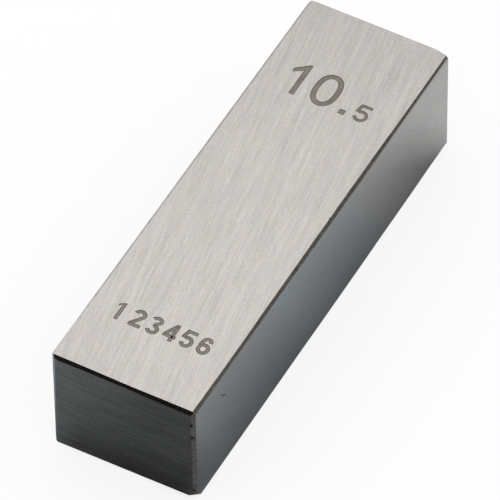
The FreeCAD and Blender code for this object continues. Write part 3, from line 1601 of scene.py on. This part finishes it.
@dataclass(frozen=True)
class Card:
    """A glowing flat or bent card that only shows in the gloss of the steel, as a painted reflection.

    Attributes:
        name: The card's name.
        radius: Distance from the block's middle, in millimetres.
        rise: Elevation of its upper border in degrees.
        facing: Direction of its middle in degrees, from straight in front towards the right.
        spread: Angle it covers, in degrees.
        colour: The painted reflection it shows.
        steps: Flat pieces along it.
    """

    name: str
    radius: float
    rise: float
    facing: float
    spread: float
    colour: Triple
    steps: int = 48

    def build(self) -> Piece:
        """Build the bent wall of the card.

        Returns:
            The card.
        """
        height = self.radius * math.tan(math.radians(self.rise))
        corners, quads = [], []
        for step in range(self.steps + 1):
            turn = math.radians(self.facing + self.spread * (step / self.steps - 0.5))
            x, y = self.radius * math.sin(turn), -self.radius * math.cos(turn)
            corners += [(x * MM, y * MM, 0.0), (x * MM, y * MM, height * MM)]
            if step:
                last = 2 * step
                quads.append((last - 2, last, last + 1, last - 1))
        mesh = bpy.data.meshes.new(self.name)
        mesh.from_pydata(corners, [], quads)
        return gloss_only(self.name, mesh, glowing(self.name, self.colour))


def glowing(name: str, colour: Triple) -> Material:
    """Make a material that shows one plain colour.

    Args:
        name: The material's name.
        colour: The colour.

    Returns:
        The material.
    """
    made = bpy.data.materials.new(name)
    lay = cleared(made)
    light = lay.add("ShaderNodeEmission")
    light.inputs["Color"].default_value = (*colour, 1.0)
    lay.show(light)
    return made


def gloss_only(name: str, mesh: bpy.types.Mesh, material: Material) -> Piece:
    """Put a glowing card in the scene that shows only in reflections, as a painted reflection.

    Args:
        name: The card's name.
        mesh: Its mesh.
        material: Its material.

    Returns:
        The card.
    """
    card = bpy.data.objects.new(name, mesh)
    mesh.materials.append(material)
    bpy.context.scene.collection.objects.link(card)
    for ray in ("camera", "diffuse", "shadow", "transmission", "volume_scatter"):
        setattr(card, f"visible_{ray}", False)
    return card


@dataclass
class PaintedShadowCard:
    """A glowing card on the floor with the block's shadow painted on it, which the upright faces and edges
    of the block reflect.

    It shows only in the gloss of the steel. Its painted shadow is dark beside the block, darker in front,
    bright far to the left, and painted as lit behind. Lengths are in millimetres, levels are shares of
    white, and slopes are changes of level for each millimetre.

    Attributes:
        half_width: Half the block's width.
        half_length: Half its length.
        size: Side of the card.
        height: Its height above the floor.
        beside: Level beside the block at its foot.
        beside_slope: Slope of it to the right.
        beside_most: Its highest level.
        beside_back: Share by which it rises to the back.
        beside_middle: Share by which it rises at the middle.
        middle: Where that is, along Y.
        middle_reach: How far the rise at the middle reaches.
        near_corner: Level beside the front corners.
        left_slope: Slope of it to the left.
        left_gentle: Share of that slope in front of the block.
        far_left: Levels far to the left, at the front and further back.
        far_starts: Where the far left starts and is full, left of the block.
        wall: Width of the blend beside the left face.
        before: Level in front of the block at its foot.
        before_slope: Slope of it away from the block.
        before_left: Slope of it to the left.
        before_most: Its highest level, at the middle and to the right.
        before_most_left: Slope of that highest level to the left.
        lit: Level behind the block.
    """

    half_width: float
    half_length: float
    size: float = 300.0
    height: float = 0.015
    beside: float = 0.125
    beside_slope: float = 0.053
    beside_most: float = 0.4
    beside_back: float = 0.27
    beside_middle: float = 0.12
    middle: float = 0.5
    middle_reach: float = 3.0
    near_corner: float = 0.14
    left_slope: float = 0.03
    left_gentle: float = 0.25
    far_left: Point = (0.95, 0.7)
    far_starts: Point = (7.0, 17.0)
    wall: float = 0.6
    before: float = 0.029
    before_slope: float = 0.0175
    before_left: float = 0.006
    before_most: float = 0.084
    before_most_left: float = 0.0088
    lit: float = 0.66

    def build(self) -> Piece:
        """Lay the card.

        Returns:
            The card.
        """
        made = bpy.data.materials.new("painted floor shadow")
        lay = self.lay = cleared(made)
        self.x, self.y, _ = lay.parts(lay.place())
        self.right = lay.math("MAXIMUM", lay.math("SUBTRACT", self.x, self.half_width), 0.0)
        leftward = lay.math("SUBTRACT", lay.math("MULTIPLY", self.x, -1.0), self.half_width)
        self.left = lay.math("MAXIMUM", leftward, 0.0)
        # Painted shadow of the block on the reflected floor: dark beside it, darker in front, painted as
        # lit behind.
        level = lay.blend(self._in_front(), self._beside(), self._before())
        behind = self._behind()
        level = lay.blend(behind, level, self._lit())
        light = lay.add("ShaderNodeEmission")
        lay.feed(light.inputs["Color"], self._tinted(level, behind))
        lay.show(light)
        return gloss_only("painted floor shadow", square("painted floor shadow", self.size, self.height), made)

    def _ahead(self) -> Socket:
        """How far a place lies in front of the block."""
        return self.lay.math("SUBTRACT", self.lay.math("MULTIPLY", self.y, -1.0), self.half_length)

    def _past_front(self, low: float, high: float) -> Socket:
        """A step from one level to another just in front of the front face."""
        return self.lay.range(self.y, -self.half_length - 0.3, -self.half_length + 0.1, low, high)

    def _beside(self) -> Socket:
        """Painted shadow level on both sides of the block."""
        lay, y, left = self.lay, self.y, self.left
        level = lay.math("MULTIPLY_ADD", self.right, self.beside_slope, self.beside)
        level = lay.math("MINIMUM", level, self.beside_most)
        to_back = lay.range(y, 0.0, self.half_length - 3.0, 1.0, 1.0 + self.beside_back)
        level = lay.math("MULTIPLY", level, to_back)
        hump = lay.hump(y, self.middle, self.middle_reach, 1.0, self.beside_middle)
        level = lay.math("MULTIPLY", level, hump)
        past = lay.range(y, -self.half_length + 1.0, -self.half_length + 5.5, 0.0, 1.0)
        level = lay.blend(past, self.near_corner, level)
        left_slope = lay.math("MULTIPLY", self._past_front(self.left_gentle, 1.0), self.left_slope)
        near_left = lay.math("MULTIPLY_ADD", left, left_slope, self.near_corner)
        far_left = lay.range(y, -1.0, 3.0, *self.far_left)
        to_left = lay.blend(lay.range(left, *self.far_starts, 0.0, 1.0), near_left, far_left)
        return lay.blend(lay.range(left, 0.0, self.wall, 0.0, 1.0), level, to_left)

    def _before(self) -> Socket:
        """Painted shadow level in front of the block."""
        lay = self.lay
        leftward = lay.math("MAXIMUM", lay.math("MULTIPLY", self.x, -1.0), 0.0)
        level = lay.math("MULTIPLY_ADD", self._ahead(), self.before_slope, self.before)
        level = lay.math("MULTIPLY_ADD", leftward, self.before_left, level)
        most = lay.math("MULTIPLY_ADD", leftward, self.before_most_left, self.before_most)
        return lay.math("MINIMUM", level, most)

    def _in_front(self) -> Socket:
        """How far a place counts as in front of the block, and not beside its corners."""
        lay = self.lay
        outward = lay.math("SUBTRACT", lay.math("ABSOLUTE", self.x), self.half_width)
        corner = lay.range(outward, -1.6, 0.8, 1.0, 0.1)
        return lay.math("MULTIPLY", lay.range(self._ahead(), 0.0, 0.05, 0.0, 1.0), corner)

    def _behind(self) -> Socket:
        """How far a place counts as behind the block and out of its painted shadow, with a softer border to
        the painted shadow further right.
        """
        lay = self.lay
        border = self.half_length - 0.45
        soft = lay.math("MULTIPLY_ADD", self.right, 0.85, 1.8)
        starts = lay.math("MULTIPLY_ADD", soft, -1.2, border)
        return lay.range(self.y, starts, lay.math("ADD", soft, border), 0.0, 1.0)

    def _lit(self) -> Socket:
        """Painted light level behind the block, brightest near its middle."""
        return self.lay.math("MULTIPLY", self.lay.hump(self.x, -2.0, 4.0, 0.9, 0.3), self.lit)

    def _tinted(self, level: Socket, behind: Socket) -> Socket:
        """Give the level its cool tint, which fades towards the back.

        Args:
            level: The level.
            behind: How far the place is behind the block.

        Returns:
            The colour.
        """
        lay, y, left = self.lay, self.y, self.left
        cool, coolest = (0.94, 1.0, 1.045, 1.0), (0.9, 1.0, 1.07, 1.0)
        bluish, neutral = (0.82, 1.0, 1.22, 1.0), (1.0, 1.0, 1.02, 1.0)
        plain, warm = (0.985, 1.0, 0.985, 1.0), (1.0, 1.0, 0.985, 1.0)
        colour = lay.mix(lay.hump(y, 1.0, 5.0, 0.0, 1.0), cool, coolest)
        colour = lay.mix(lay.range(y, 7.0, 12.0, 0.0, 1.0), colour, plain)
        at_wall = lay.range(left, 0.0, self.wall, 0.0, 1.0)
        colour = lay.mix(lay.math("MULTIPLY", self._past_front(0.0, 1.0), at_wall), colour, bluish)
        colour = lay.mix(lay.range(left, *self.far_starts, 0.0, 1.0), colour, neutral)
        return lay.scaled(lay.mix(behind, colour, warm), level)


@dataclass(frozen=True)
class Studio:
    """The pale floor, the white room, and the glowing cards of painted reflections and painted floor shadow
    that the steel reflects.

    Lengths are in millimetres, and levels are shares of white.

    Attributes:
        room: Level of the white all round.
        floor_colour: Colour of the floor.
        floor_white: Share of plain white in what the camera and the gloss see of the floor.
        floor_size: Side of the floor.
        lamp_aim: The place that the lamp faces.
        lamp_toward: Direction from there to the lamp.
        lamp_distance: Distance of the lamp from the block.
        lamp_size: Side of the lamp.
        lamp_power: Power of the lamp in watts.
    """

    room: float = 1.0
    floor_colour: Triple = (0.97, 0.97, 0.97)
    floor_white: float = 0.8
    floor_size: float = 3000.0
    lamp_aim: Triple = (0.0, -14.0, 9.0)
    lamp_toward: Triple = (-0.3188, 0.5608, 0.764)
    lamp_distance: float = 60.0
    lamp_size: float = 40.0
    lamp_power: float = 0.0012

    def build(self, half_width: float, half_length: float) -> None:
        """Build the floor, the room, the lamp and the cards.

        Args:
            half_width: Half the block's width, in millimetres.
            half_length: Half its length.
        """
        self._room()
        self._floor()
        # A glowing card with the block's shadow painted on it, seen only in the gloss of the steel.
        PaintedShadowCard(half_width, half_length).build()
        # Glowing cards that paint a dim reflection all round and a dark one in front, seen only in the
        # gloss of the steel.
        Card("painted dim reflection", 148.0, 32.0, 0.0, 360.0, (0.16, 0.15, 0.135)).build()
        Card("painted dark reflection", 120.0, 44.0, 0.0, 90.0, (0.012, 0.012, 0.011)).build()
        self._lamp()

    def _room(self) -> None:
        """Surround the scene with plain white."""
        world = bpy.data.worlds.new("room")
        bpy.context.scene.world = world
        lay = cleared(world)
        sky = lay.add("ShaderNodeBackground")
        sky.inputs["Color"].default_value = (1.0, 1.0, 1.0, 1.0)
        sky.inputs["Strength"].default_value = self.room
        lay.show(sky, "ShaderNodeOutputWorld")

    def _floor(self) -> None:
        """Lay the pale matt floor."""
        made = bpy.data.materials.new("floor")
        lay = cleared(made)
        place = lay.add("ShaderNodeTexCoord")
        grain = lay.noise(place.outputs["Object"], 40.0, 4.0)
        level = lay.math("MULTIPLY_ADD", grain, 0.012, 0.994)
        shader = lay.add("ShaderNodeBsdfPrincipled")
        shader.inputs["Roughness"].default_value = 0.9
        shader.inputs["Specular IOR Level"].default_value = 0.0
        lay.feed(shader.inputs["Base Color"], lay.scaled(self.floor_colour, level))
        path = lay.add("ShaderNodeLightPath")
        seen = lay.math("MAXIMUM", path.outputs["Is Camera Ray"], path.outputs["Is Glossy Ray"])
        seen = lay.math("MAXIMUM", seen, path.outputs["Is Transmission Ray"])
        white = lay.add("ShaderNodeEmission")
        blend = lay.add("ShaderNodeMixShader")
        lay.feed(blend.inputs[0], lay.math("MULTIPLY", seen, self.floor_white))
        lay.feed(blend.inputs[1], shader.outputs[0])
        lay.feed(blend.inputs[2], white.outputs[0])
        lay.show(blend)
        floor = bpy.data.objects.new("floor", square("floor", self.floor_size, 0.0))
        floor.data.materials.append(made)
        bpy.context.scene.collection.objects.link(floor)

    def _lamp(self) -> None:
        """Hang the soft lamp that the marked face mirrors to the camera."""
        toward = Vector(self.lamp_toward)
        data = bpy.data.lights.new("soft lamp", "AREA")
        data.shape = "SQUARE"
        data.size = self.lamp_size * MM
        data.energy = self.lamp_power
        lamp = bpy.data.objects.new("soft lamp", data)
        bpy.context.scene.collection.objects.link(lamp)
        lamp.location = (Vector(self.lamp_aim) + toward * self.lamp_distance) * MM
        lamp.rotation_mode = "QUATERNION"
        lamp.rotation_quaternion = toward.to_track_quat("Z", "Y")


def square(name: str, size: float, height: float) -> bpy.types.Mesh:
    """Make a level square mesh.

    Args:
        name: The mesh's name.
        size: Length of its side in millimetres.
        height: Height above the floor in millimetres.

    Returns:
        The mesh.
    """
    half = size / 2 * MM
    level = height * MM
    mesh = bpy.data.meshes.new(name)
    corners = [(-half, -half, level), (half, -half, level), (half, half, level), (-half, half, level)]
    mesh.from_pydata(corners, [], [(0, 1, 2, 3)])
    return mesh


# ---------------------------------------------------------------------------------------
# Scene
# ---------------------------------------------------------------------------------------


def main() -> None:
    """Build the block and its studio in order."""
    logging.basicConfig(level=logging.INFO, format="%(name)s: %(message)s")
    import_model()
    bpy.context.scene.view_settings.view_transform = "Standard"
    block = Block()
    effects = SharedEffects(block.high.z)
    block.build(effects)
    Studio().build(block.high.x, block.high.y)
    Camera().build()


if __name__ == "__main__":
    main()
